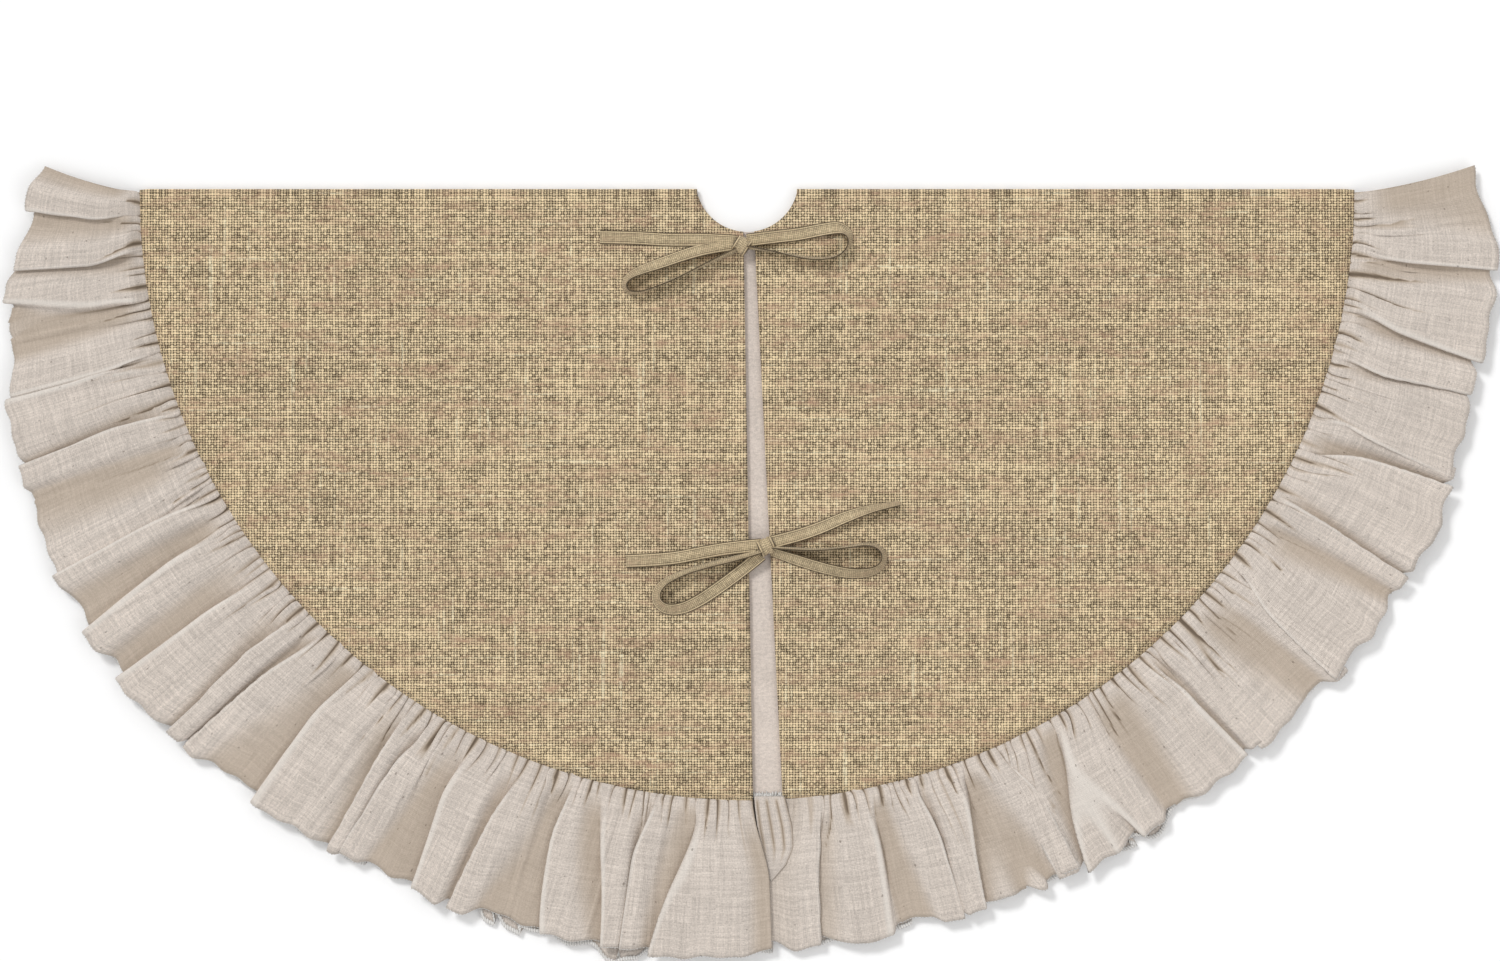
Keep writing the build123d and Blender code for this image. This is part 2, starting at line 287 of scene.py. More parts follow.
class Nodes:
    """A short way to write a material's nodes."""

    def __init__(self, name):
        self.material = bpy.data.materials.new(name)
        self.material.use_nodes = True
        self.tree = self.material.node_tree
        self.tree.nodes.clear()
        self.output = self.tree.nodes.new("ShaderNodeOutputMaterial")
        self.shader = self.tree.nodes.new("ShaderNodeBsdfPrincipled")
        self.tree.links.new(self.shader.outputs[0], self.output.inputs[0])

    def add(self, kind, **settings):
        node = self.tree.nodes.new(kind)
        for key, value in settings.items():
            setattr(node, key, value)
        return node

    def link(self, source, target):
        if isinstance(source, bpy.types.NodeSocket):
            self.tree.links.new(source, target)
        else:
            target.default_value = source

    def math(self, operation, a, b=0.0, c=0.0, clamp=False):
        node = self.add("ShaderNodeMath", operation=operation, use_clamp=clamp)
        for socket, value in zip(node.inputs, (a, b, c)):
            self.link(value, socket)
        return node.outputs[0]

    def mix(self, share, a, b):
        node = self.add("ShaderNodeMix", data_type="RGBA")
        self.link(share, node.inputs["Factor"])
        self.link(a if isinstance(a, bpy.types.NodeSocket) else (*a, 1.0), node.inputs["A"])
        self.link(b if isinstance(b, bpy.types.NodeSocket) else (*b, 1.0), node.inputs["B"])
        return node.outputs["Result"]

    def uv(self, layer="cloth"):
        return self.add("ShaderNodeUVMap", uv_map=layer).outputs[0]

    def scaled(self, vector, scale, location=(0, 0, 0)):
        node = self.add("ShaderNodeMapping")
        self.link(vector, node.inputs["Vector"])
        node.inputs["Scale"].default_value = scale
        node.inputs["Location"].default_value = location
        return node.outputs[0]

    def noise(self, vector, scale=1.0, detail=2.0, roughness=0.5, output="Fac"):
        node = self.add("ShaderNodeTexNoise")
        self.link(vector, node.inputs["Vector"])
        node.inputs["Scale"].default_value = scale
        node.inputs["Detail"].default_value = detail
        node.inputs["Roughness"].default_value = roughness
        return node.outputs[output]

    def tinted(self, colour, tone):
        """A colour made lighter or darker by tone."""
        node = self.add("ShaderNodeVectorMath", operation="SCALE")
        node.inputs[0].default_value = tuple(colour)
        self.link(tone, node.inputs["Scale"])
        return node.outputs[0]

    def vector(self, operation, a, b):
        node = self.add("ShaderNodeVectorMath", operation=operation)
        self.link(a, node.inputs[0])
        self.link(b, node.inputs[1])
        return node.outputs[0]

    def cells(self, vector, size, offset=0.0):
        """A random number for each cell of a grid."""
        placed = self.scaled(vector, (1 / size[0], 1 / size[1], 1), location=(offset, offset, 0))
        node = self.add("ShaderNodeTexWhiteNoise", noise_dimensions="3D")
        self.link(self.vector("FLOOR", placed, (0, 0, 0)), node.inputs["Vector"])
        return node.outputs["Value"]

    def remap(self, value, low, high, to_low=0.0, to_high=1.0):
        node = self.add("ShaderNodeMapRange", clamp=True)
        for socket, number in zip(node.inputs, (value, low, high, to_low, to_high)):
            self.link(number, socket)
        return node.outputs[0]

    def split(self, vector):
        node = self.add("ShaderNodeSeparateXYZ")
        self.link(vector, node.inputs[0])
        return node.outputs

    def bump(self, height, strength, distance):
        node = self.add("ShaderNodeBump")
        node.inputs["Strength"].default_value = strength
        node.inputs["Distance"].default_value = distance
        self.link(height, node.inputs["Height"])
        self.tree.links.new(node.outputs[0], self.shader.inputs["Normal"])

    def attribute(self, name):
        return self.add("ShaderNodeAttribute", attribute_name=name).outputs["Fac"]

    def weave(self, vector, across, along):
        """Plain weave: (which thread is on top, height of the cloth, 0 in the gaps)."""
        axes = self.split(self.scaled(vector, (1 / across, 1 / along, 1)))
        u, v = axes[0], axes[1]
        parity = self.math("MODULO", self.math("ADD", self.math("FLOOR", u), self.math("FLOOR", v)), 2.0)
        parity = self.math("ABSOLUTE", parity)
        warp = self.math("SINE", self.math("MULTIPLY", self.math("FRACT", u), math.pi))
        weft = self.math("SINE", self.math("MULTIPLY", self.math("FRACT", v), math.pi))
        over = self.math("MULTIPLY", self.math("SUBTRACT", 1.0, parity), warp)
        under = self.math("MULTIPLY", parity, weft)
        crown = self.math("ADD", over, under)
        gaps = self.math("MAXIMUM", warp, weft)
        height = self.math("MULTIPLY", self.math("ADD", crown, gaps), 0.5)
        return parity, height


def cloth_shader(nodes, roughness, sheen):
    nodes.shader.inputs["Roughness"].default_value = roughness
    nodes.shader.inputs["Specular IOR Level"].default_value = 0.18
    nodes.shader.inputs["Sheen Weight"].default_value = sheen
    nodes.shader.inputs["Sheen Roughness"].default_value = 0.6


def face_cloth_material(name="face_cloth_look", tape=False):
    """Slubby plain weave: uneven light threads, dark gaps and pinkish heather.

    A tape is woven finer and has folded edges and a line of stitches down each side, with painted shade along
    its outer edges and in its stitch lines and a painted highlight on the crown of each folded edge.
    """
    c = colours()
    n = Nodes(name)
    uv = n.uv()
    pitch = 0.0015 if tape else 0.0023
    across, along = pitch * 1.06, pitch * 0.96
    wander = n.noise(uv, scale=45.0, output="Color")
    placed = n.vector("ADD", uv, n.scaled(wander, (0.0010, 0.0010, 0.0)))
    parity, height = n.weave(placed, across, along)
    down = n.cells(placed, (across, along * 2))
    over = n.cells(placed, (across * 2, along), offset=0.37)
    single = n.cells(placed, (across, along))
    fleck = n.cells(placed, (pitch * 0.5, pitch * 0.5), offset=0.29)
    line_down = n.cells(placed, (across, 0.070))
    line_across = n.cells(placed, (0.085, along))
    thread = n.math("ADD", n.math("MULTIPLY", down, n.math("SUBTRACT", 1.0, parity)),
                    n.math("MULTIPLY", over, parity))
    light = n.math("MULTIPLY", height, 1.20)
    for part, share in ((thread, 0.24), (single, 0.30), (fleck, 0.20),
                        (n.math("POWER", line_down, 3.0), 0.14),
                        (n.math("POWER", line_across, 3.0), 0.18)):
        light = n.math("ADD", light, n.math("MULTIPLY", part, share))
    tone = n.remap(light, 0.98, 1.74)
    ground = n.mix(tone, tuple(c.face_dark), tuple(c.face_light))
    slub_down = n.noise(n.scaled(uv, (260.0, 9.0, 1)), detail=1.0)
    slub_across = n.noise(n.scaled(uv, (10.0, 280.0, 1), location=(3, 7, 0)), detail=1.0)
    slub = n.math("MAXIMUM", n.remap(slub_down, 0.66, 0.72), n.remap(slub_across, 0.66, 0.72))
    ground = n.mix(n.math("MULTIPLY", n.math("MULTIPLY", slub, single), 0.45), ground, tuple(c.face_slub))
    thin = n.math("MAXIMUM", n.remap(slub_down, 0.34, 0.28), n.remap(slub_across, 0.34, 0.28))
    ground = n.mix(n.math("MULTIPLY", n.math("MULTIPLY", thin, single), 0.3), ground, tuple(c.face_dark))
    patches = n.noise(n.scaled(uv, (22.0, 70.0, 1), location=(9, 4, 0)), detail=5.0, roughness=0.75)
    heather = n.math("ADD", 0.16, n.math("MULTIPLY", over, 0.60))
    heather = n.math("MULTIPLY", n.remap(patches, 0.48, 0.66), heather)
    ground = n.mix(heather, ground, tuple(c.face_pink))
    bumps = n.math("ADD", height, n.math("MULTIPLY", single, 0.5))
    if tape:
        width_share = n.split(n.uv("tape"))[0]
        edge = n.math("ABSOLUTE", n.math("SUBTRACT", width_share, 0.5))
        groove = n.math("ABSOLUTE", n.math("SUBTRACT", edge, 0.31))
        stitch_line = n.remap(groove, 0.0, 0.05, 1.0, 0.0)
        bumps = n.math("SUBTRACT", bumps, n.math("MULTIPLY", stitch_line, 1.5))
        ground = n.mix(0.45, ground, tuple(c.face_mean))
        # Painted highlight on the crown of each folded edge.
        ground = n.mix(n.remap(edge, 0.32, 0.37, 0.0, 0.40), ground, tuple(c.face_light))
        # Painted shade in the stitch grooves.
        ground = n.mix(n.math("MULTIPLY", stitch_line, 0.50), ground, tuple(c.face_dark))
        # Painted shade along the tape's outer edges, standing for their dark outline.
        ground = n.mix(n.remap(edge, 0.40, 0.45, 0.0, 0.92), ground, tuple(c.face_dark))
    n.link(ground, n.shader.inputs["Base Color"])
    n.bump(bumps, 0.6, 0.0005)
    cloth_shader(n, 0.88, 0.12)
    return n.material


def ruffle_cloth_material():
    """Fine oatmeal linen with slubs and dark flecks, with painted warm brown shade in its creases and painted
    highlights on its pleat edges.
    """
    c = colours()
    n = Nodes("ruffle_cloth_look")
    uv = n.uv()
    _, height = n.weave(uv, 0.0014, 0.0014)
    grain = n.noise(uv, scale=560.0, detail=2.0, roughness=0.75)
    slub = n.noise(n.scaled(uv, (14.0, 420.0, 1)), detail=2.0, roughness=0.7)
    slub_in = n.noise(n.scaled(uv, (420.0, 14.0, 1), location=(4, 4, 0)), detail=2.0, roughness=0.7)
    cloud = n.noise(uv, scale=16.0, detail=3.0, roughness=0.6)
    fleck_spots = n.noise(n.scaled(uv, (330.0, 230.0, 1), location=(1, 9, 0)), detail=0.0)
    flecks = n.remap(fleck_spots, 0.80, 0.85)
    light = n.math("ADD", n.math("MULTIPLY", height, 0.25), n.math("MULTIPLY", grain, 0.8))
    light = n.math("ADD", light, n.math("MULTIPLY", n.math("ADD", slub, slub_in), 0.55))
    tone = n.remap(light, 0.92, 1.36, 0.80, 1.10)
    speck = n.remap(n.noise(uv, scale=760.0, detail=2.0, roughness=0.8), 0.33, 0.67)
    thread_in = n.cells(uv, (0.0014, 0.022), offset=0.4)
    thread_along = n.cells(uv, (0.022, 0.0014), offset=0.8)
    threads = n.math("MULTIPLY", n.math("ADD", thread_in, thread_along), 0.25)
    woven = n.math("ADD", n.math("MULTIPLY", speck, 0.5), threads)
    tone = n.math("MULTIPLY", tone, n.remap(woven, 0.1, 0.9, 0.77, 1.18))
    tone = n.math("MULTIPLY", tone, n.remap(cloud, 0.3, 0.7, 0.96, 1.04))
    # Painted shading from the point attribute read here: positive values give painted shade in creases, gathers
    # and pleat feet, negative values a painted highlight on lit pleat edges.
    painted_shading = n.attribute("painted_shading")
    toned = n.mix(n.remap(painted_shading, 0.05, 0.9, 0.0, 0.9), n.tinted(c.ruffle_light, tone), tuple(c.ruffle_shade))
    toned = n.mix(n.remap(painted_shading, 0.6, 1.0, 0.0, 0.85), toned, tuple(c.ruffle_deep_shade))
    # Painted highlight on the lit edges of the pleats.
    toned = n.mix(n.remap(painted_shading, -0.1, -0.5, 0.0, 0.6), toned, tuple(c.ruffle_lit))
    flecked = n.mix(n.math("MULTIPLY", flecks, 0.5), toned, (0.10, 0.07, 0.05))
    n.link(flecked, n.shader.inputs["Base Color"])
    n.bump(n.math("ADD", height, grain), 0.6, 0.0004)
    cloth_shader(n, 0.85, 0.15)
    return n.material


def lining_material():
    """Fine, pale, slightly felted lining with a non-slip grain."""
    c = colours()
    n = Nodes("lining_cloth_look")
    uv = n.uv()
    speck = n.noise(uv, scale=820.0, detail=2.0, roughness=0.8)
    clump = n.noise(uv, scale=330.0, detail=1.0, roughness=0.6)
    fibres = n.noise(n.scaled(uv, (180.0, 700.0, 1)), detail=2.0)
    cloud = n.noise(uv, scale=30.0, detail=2.0)
    grain = n.math("ADD", n.math("MULTIPLY", speck, 0.65), n.math("MULTIPLY", clump, 0.35))
    tone = n.math("ADD", n.math("MULTIPLY", grain, 0.6), n.math("MULTIPLY", n.math("ADD", fibres, cloud), 0.2))
    tone = n.remap(tone, 0.36, 0.62, 0.72, 1.13)
    n.link(n.tinted(c.lining, tone), n.shader.inputs["Base Color"])
    n.bump(grain, 0.5, 0.0004)
    cloth_shader(n, 0.92, 0.2)
    return n.material


def thread_material(name, colour, pitch):
    """Twisted sewing thread, with painted highlights on the crowns of its plies and painted shade between them.
    """
    n = Nodes(name)
    axes = n.split(n.uv())
    twist = n.math("FRACT", n.math("ADD", n.math("DIVIDE", axes[0], pitch), axes[1]))
    crown = n.math("SINE", n.math("MULTIPLY", twist, math.pi))
    fuzz = n.noise(n.uv(), scale=900.0, detail=2.0)
    tone = n.math("ADD", n.math("MULTIPLY", crown, 0.35), n.math("MULTIPLY", fuzz, 0.3))
    # Painted shade between the plies, mixed up to the thread's colour on the crowns as painted highlight.
    dark = tuple(0.55 * x for x in colour)
    n.link(n.mix(n.remap(tone, 0.1, 0.5), dark, tuple(colour)), n.shader.inputs["Base Color"])
    n.bump(crown, 0.6, 0.0003)
    cloth_shader(n, 0.7, 0.2)
    return n.material


def material(name):
    """The look of one of the record's slots, made the first time it is asked for."""
    found = bpy.data.materials.get(name + "_look")
    if found:
        return found
    c = colours()
    makers = {
        "face_cloth": face_cloth_material,
        "tie_cloth": lambda: face_cloth_material("tie_cloth_look", tape=True),
        "ruffle_cloth": ruffle_cloth_material,
        "lining_cloth": lining_material,
        "edge_thread": lambda: thread_material("edge_thread_look", tuple(c.edge_thread), 0.0022),
        "sewing_thread": lambda: thread_material("sewing_thread_look", tuple(c.face_light), 0.0016),
    }
    return makers[name]()


# ---------------------------------------------------------------- face and lining

FACE_ROWS = 64
QUARTER_COLUMNS = 90
BEND_COLUMNS = 7


def plan_columns():
    """Plan of the whole sheet, as inner and outer end of each column, with how far round it is.

    Columns run from the left slit edge over the left fold, round the back half, over the right
    fold, to the right slit edge.  turn is 0 on the front, 1 on the back, between on the bends.
    """
    arc_radius, arc_y = hole_arc()
    half = sizes().hole_width / 2
    start_inner = math.atan2(-arc_y, -half) % (2 * math.pi)
    inner, outer, turn = [], [], []

    def column(inner_angle, outer_angle, how_far):
        inner.append((arc_radius * math.cos(inner_angle), arc_y + arc_radius * math.sin(inner_angle)))
        outer.append((FACE_RADIUS * math.cos(outer_angle), FACE_RADIUS * math.sin(outer_angle)))
        turn.append(how_far)

    def arc(first, last, count, how_far):
        for share in np.linspace(0, 1, count):
            column(*(a + (b - a) * share for a, b in zip(first, last)), how_far)

    fold_left = (start_inner, math.pi)
    fold_right = (3 * math.pi - start_inner, 2 * math.pi)
    slit_left, slit_right = (
        (slit_corner(side, arc_radius, arc_y) % (2 * math.pi), slit_corner(side, FACE_RADIUS) % (2 * math.pi))
        for side in (LEFT, RIGHT))
    arc(slit_left, fold_left, QUARTER_COLUMNS, 0.0)
    for step in range(1, BEND_COLUMNS):
        column(*fold_left, step / BEND_COLUMNS)
    arc(fold_left, fold_right, 2 * QUARTER_COLUMNS, 1.0)
    for step in range(1, BEND_COLUMNS):
        column(*fold_right, 1 - step / BEND_COLUMNS)
    arc(fold_right, slit_right, QUARTER_COLUMNS, 0.0)
    return np.array(inner), np.array(outer), np.array(turn)


def folded_sheet(name, outer_gap, thickness, cloth, waves):
    """The face or the lining: one sheet that bends round the fold.

    outer_gap is the distance of its right side from the mid-plane between the halves.
    """
    inner, outer, turn = plan_columns()
    share = np.linspace(0, 1, FACE_ROWS)[:, None]
    x = inner[None, :, 0] * (1 - share) + outer[None, :, 0] * share
    y = inner[None, :, 1] * (1 - share) + outer[None, :, 1] * share
    swing = math.pi * turn[None, :] * np.ones_like(share)
    bent = ((turn > 0) & (turn < 1))[None, :]
    on_front = turn[None, :] == 0
    radius = np.hypot(x, y)
    angle = np.arctan2(y, x)
    broad = 0.35 * ripple(x / 0.13, 11) * ripple(y / 0.17, 12)
    lift = waves * (broad + 0.2 * ripple((x + y) / 0.06, 13))
    pucker = smooth((radius - (FACE_RADIUS - 0.03)) / 0.03)
    lift = lift + waves * 0.9 * pucker * ripple(angle * FACE_RADIUS / 0.016, 14)
    tuck = smooth((radius - (FACE_RADIUS - 0.0030)) / 0.0030) * 0.0007
    slit_side = np.where(x < slit_edge_x(LEFT, y, 0.004), LEFT, RIGHT)
    away = np.where(slit_side == LEFT, slit_edge_x(LEFT, y) - x, x - slit_edge_x(RIGHT, y))
    curl = (1 - smooth(np.abs(away) / 0.004)) * on_front * 0.0006
    gap = outer_gap + np.where(bent, 0, lift * on_front) - tuck - curl
    y = np.where(bent, gap * np.sin(swing), y)
    z = HINGE_HEIGHT + gap * np.cos(swing)
    points = np.stack([x, y, z], axis=-1)
    flat_y = np.where(turn[None, :] > 0.5, -points[..., 1], points[..., 1])
    flat_y = np.where(bent, outer_gap * (swing - math.pi / 2), flat_y)
    piece = grid_piece(name, points, spread(x, flat_y), material(cloth))
    thicken(piece, thickness)
    return piece


# ---------------------------------------------------------------- ruffles

# Radius of the ruffle's hem, in metres, at steps of degrees from the fold toward the slit.
HEM_DEGREES = (-3, 0, 4, 8, 14, 20, 26, 34, 40, 48, 60, 75, 90)
HEM_RADII = {
    LEFT: (.594, .594, .612, .631, .638, .651, .660, .668, .666, .661, .652, .646, .641),
    RIGHT: (.613, .615, .631, .634, .630, .634, .643, .641, .640, .632, .634, .633, .637),
}
# Where the pleats nearest the fold end, in metres along the seam from the fold.
PLEATS_AT_FOLD = {
    LEFT: (.020, .051, .092, .143, .185, .223, .262),
    RIGHT: (.056, .100, .143, .186, .222),
}


def hem_radius(side, angle):
    """Radius of the hem at an angle; the fold is at 180 degrees on the left and 360 on the right."""
    from_fold = np.abs(np.degrees(angle) - (180 if side == LEFT else 360))
    past = np.where((angle < math.pi) | (angle > 2 * math.pi), -1, 1)
    return np.interp(from_fold * past, HEM_DEGREES, HEM_RADII[side])


def ruffle_surface(first, last, columns, rows, seed, style):
    """Places of a gathered strip from the angle first to the angle last, with the painted shading for its
    colour.

    The strip is drawn into narrow gathers at the seam.  Further out they run together into
    pleats: each has a sharp edge that lies over its neighbour, a smooth panel and a shaded foot.
    """
    rng = np.random.default_rng(seed)
    s = np.linspace(0, 1, columns)[None, :]
    v = (np.linspace(0, 1, rows) ** 1.2)[:, None]
    seam_length = abs(last - first) * FACE_RADIUS

    def phase(marks, drift, drift_seed):
        """Number of the pleat at each place, with how far across it the place is."""
        count = len(marks) - 1
        wander = drift * v * ripple(s * count * 0.4, drift_seed) / count
        place = np.clip(s + wander * smooth(s * count) * smooth((1 - s) * count), 0, 1)
        full = np.interp(place, marks, np.arange(count + 1))
        number = np.clip(np.floor(full).astype(int), 0, count - 1)
        return number, full - number

    def uneven(count, spread):
        widths = 1 + spread * rng.uniform(-1, 1, count)
        return np.concatenate([[0], np.cumsum(widths) / widths.sum()])

    near_fold = 1 - np.array(style["near_fold"])[::-1] / seam_length
    start = near_fold[0] if len(near_fold) else 1.0
    free = uneven(max(1, int(round(start * seam_length / style["pleat_width"]))), 0.4) * start
    marks = np.concatenate([free, near_fold[1:], [1.0]]) if len(near_fold) else free
    pleats = len(marks) - 1
    number, across = phase(marks, 0.7, seed + 1)

    toward = rng.choice([1, -1, -1, -1, -1, -1, -1, -1], pleats)
    if style["near_fold"]:
        toward[-4:] = 1
    toward = toward[number]
    across = np.where(toward > 0, across, 1 - across)
    edge = rng.uniform(0.07, 0.13, pleats)[number]
    crown = rng.uniform(0.35, 0.62, pleats)[number]
    foot = rng.uniform(0.78, 0.97, pleats)[number]
    rise = smooth(across / edge)
    panel = rise * (1 - smooth((across - crown) / (foot - crown)))
    grow = smooth(v / rng.uniform(0.12, 0.4, pleats)[number])
    fade = rng.uniform(0.55, 1.0, pleats)[number]
    amplitude = rng.uniform(0.55, 1.0, pleats)[number] * style["height"]
    crest = amplitude * panel * grow * (1 - (1 - fade) * smooth((v - 0.5) / 0.5))
    shift = rise * np.clip((0.97 - across) / (0.97 - edge), 0, 1)
    lean = rng.uniform(0.35, 1.0, pleats)[number] * style["lean"] * smooth(v / 0.45)
    slide = -toward * lean * shift

    fine_marks = uneven(int(round(seam_length / style["gather_width"])), 0.55)
    gathers = len(fine_marks) - 1
    gather, share = phase(fine_marks, 1.6, seed + 3)
    short = rng.uniform(0.10, 0.30, gathers)
    long = (rng.random(gathers) < 0.22) * rng.uniform(0.15, 0.5, gathers)
    reach = (short + long)[gather]
    taper = 2.5 + 12 * np.clip(v / reach, 0, 1.3)
    valley = (0.5 + 0.5 * np.cos(2 * math.pi * share)) ** taper
    shape = smooth(v / 0.02) * (1 - smooth((v - 0.25 * reach) / (0.75 * reach)))
    depth_of = rng.uniform(0.4, 1.0, gathers)[gather]
    crest = crest + style["gather_height"] * depth_of * (1 - valley) * shape
    slide = slide + rng.uniform(-1, 1, gathers)[gather] * 0.003 * (1 - valley) * shape

    soft_marks = uneven(max(2, int(pleats * 1.6)), 0.5)
    soft, share = phase(soft_marks, 1.5, seed + 2)
    swell = 0.5 - 0.5 * np.cos(2 * math.pi * share)
    soft_shape = smooth(v / 0.15) * (1 - 0.6 * smooth((v - 0.5) / 0.4))
    fold_height = rng.uniform(0, 1, len(soft_marks) - 1)[soft] * 0.28 * style["height"]
    crest = crest + fold_height * swell * soft_shape

    angle = first + (last - first) * s
    outer = style["hem"](angle)
    lobe = rng.uniform(0.3, 1.0, pleats)[number] * style["lobes"]
    frill = v ** 2 * (lobe * (panel - 0.6) + 0.003 * ripple(s * pleats * 1.3, seed + 4))
    radius = FACE_RADIUS + (outer - FACE_RADIUS) * v + frill
    angle = angle + (slide * np.sign(last - first)) / radius + style["flare"](s, v)
    # Painted shading for the ruffle's colour: painted shade on each pleat's foot, a painted shadow line at each
    # overlapping edge and in each gather's valley, less a painted highlight just inside each sharp edge.
    foot_shade = (1 - panel) * smooth((across - crown) / 0.3) * grow * 0.58
    edge_shadow_line = np.exp(-(np.minimum(across, 1 - across) / 0.035) ** 2) * grow * (1 - 0.5 * v)
    edge_light = np.exp(-((across - edge * 1.15) / 0.04) ** 2) * grow * 0.5
    gather_shade = valley * (1 - smooth((v - 0.4 * reach) / (0.7 * reach))) * depth_of * 1.6
    painted_shading = np.maximum(np.maximum(foot_shade, edge_shadow_line * 0.9), gather_shade) - edge_light
    height = style["lift"](v) + crest
    return radius, angle, height, np.clip(painted_shading, -1, 1), s, v, seam_length


def with_allowance(points, uv, painted_shading, rise):
    """Add the strip of cloth that is sewn in under the face, inside the seam."""
    inner = points[:1].copy()
    inner[..., :2] *= 1 - SEWN_IN / FACE_RADIUS
    inner[..., 2] += rise
    inner_uv = uv[:1].copy()
    inner_uv[..., 1] -= SEWN_IN
    return (np.concatenate([inner, points]), np.concatenate([inner_uv, uv]),
            np.concatenate([painted_shading[:1], painted_shading]))


def front_ruffle(side):
    """The gathered strip of one front quarter, from the slit to a little past the fold."""
    z = sizes()
    slit_angle = slit_corner(side, FACE_RADIUS) % (2 * math.pi)
    fold_angle = math.pi if side == LEFT else 2 * math.pi
    rest = BACK_RUFFLE_TOP + 0.0012

    def flare(s, v):
        past_fold = smooth((s - 0.93) / 0.07) * PAST_FOLD / (FACE_RADIUS + z.ruffle_depth) * v ** 1.3
        slit_lean = (1 - smooth(s / 0.09)) * (0.023 if side == LEFT else 0.030) * smooth(v / 0.55)
        return (past_fold - slit_lean) * np.sign(fold_angle - slit_angle)

    def lift(v):
        rise = (FACE_TOP - SEAM_DROP) + (rest - FACE_TOP + SEAM_DROP) * smooth(v / 0.12)
        return rise + 0.0015 * smooth(v / 0.1) * (1 - smooth((v - 0.3) / 0.6))

    style = {
        "pleat_width": 0.040, "gather_width": 0.0085, "height": 0.0085, "gather_height": 0.0030,
        "lean": 0.012, "lobes": 0.010, "hem": lambda angle: hem_radius(side, angle),
        "flare": flare, "lift": lift, "near_fold": PLEATS_AT_FOLD[side],
    }
    columns, rows = 900, 38
    seed = 21 if side == LEFT else 61
    radius, angle, height, painted_shading, s, v, seam = ruffle_surface(
        slit_angle, fold_angle, columns, rows, seed, style)
    at_slit = smooth(s / 0.06)
    settle = style["lift"](v)
    crest = (height - settle) * (0.25 + 0.75 * smooth((1 - s) / 0.012))
    if side == LEFT:
        over_right = 0.0034 * (1 - smooth((s - 0.03) / 0.04)) * smooth(v / 0.25)
        crest = crest * (0.35 + 0.65 * at_slit) + over_right
    else:
        crest = crest * at_slit
        # Painted shade on the right ruffle's end beside the slit, under the turned-back end.
        painted_shading = painted_shading * at_slit + 0.35 * (1 - smooth(s / 0.035)) * (1 - 0.5 * v)
    height = settle + crest
    points = spread(radius * np.cos(angle), radius * np.sin(angle), height)
    at_fold = 0.0012 * smooth((s - 0.965) / 0.02) * smooth(v / 0.02)
    points[..., 2] += at_fold
    uv = spread(s * seam * FULLNESS, v * z.ruffle_depth)
    points, uv, painted_shading = with_allowance(points, uv, painted_shading, -0.0005)
    name = f"front_{SIDE_NAMES[side]}_ruffle_cloth"
    piece = grid_piece(name, points, uv, material("ruffle_cloth"), flip=side == LEFT)
    point_attribute(piece, "painted_shading", painted_shading)
    return piece, points, seam * FULLNESS, z.ruffle_depth


def back_ruffle():
    """The gathered strip of the back half, pressed under the front one, with its right side down."""
    z = sizes()

    def hem(angle):
        left = hem_radius(LEFT, np.minimum(angle, 1.5 * math.pi))
        right = hem_radius(RIGHT, np.maximum(angle, 1.5 * math.pi))
        middle = smooth((angle - 1.45 * math.pi) / (0.1 * math.pi))
        near_fold = np.cos(angle) ** 8
        shows_left = 0.015 * np.exp(-((angle - 4.52) / 0.16) ** 2)
        shows_right = 0.012 * np.exp(-((angle - 5.27) / 0.08) ** 2)
        return left * (1 - middle) + right * middle - 0.006 - 0.010 * near_fold + shows_left + shows_right

    def lift(v):
        return 0.0012 + 0 * v

    style = {
        "pleat_width": 0.046, "gather_width": 0.0100, "height": 0.0036, "gather_height": 0.0014,
        "lean": 0.010, "lobes": 0.013, "hem": hem,
        "flare": lambda s, v: 0 * s, "lift": lift, "near_fold": (),
    }
    columns, rows, seed = 1300, 30, 83
    radius, angle, height, painted_shading, s, v, seam = ruffle_surface(
        math.pi, 2 * math.pi, columns, rows, seed, style)
    up = height - lift(v)
    at_seam = BACK_FACE_UNDERSIDE + 0.0014
    low = at_seam + (0.0060 - at_seam) * smooth(v / 0.25)
    z_down = np.maximum(low - up, 0.0009)
    y = np.minimum(radius * np.sin(angle), -0.0004)
    points = spread(radius * np.cos(angle), y, z_down)
    uv = spread(s * seam * FULLNESS, v * z.ruffle_depth)
    # The back ruffle gets a weaker painted shade and highlight.
    points, uv, painted_shading = with_allowance(points, uv, painted_shading * 0.8, 0.0005)
    piece = grid_piece("back_ruffle_cloth", points, uv, material("ruffle_cloth"), flip=True)
    point_attribute(piece, "painted_shading", painted_shading)
    return piece, points, seam * FULLNESS, z.ruffle_depth


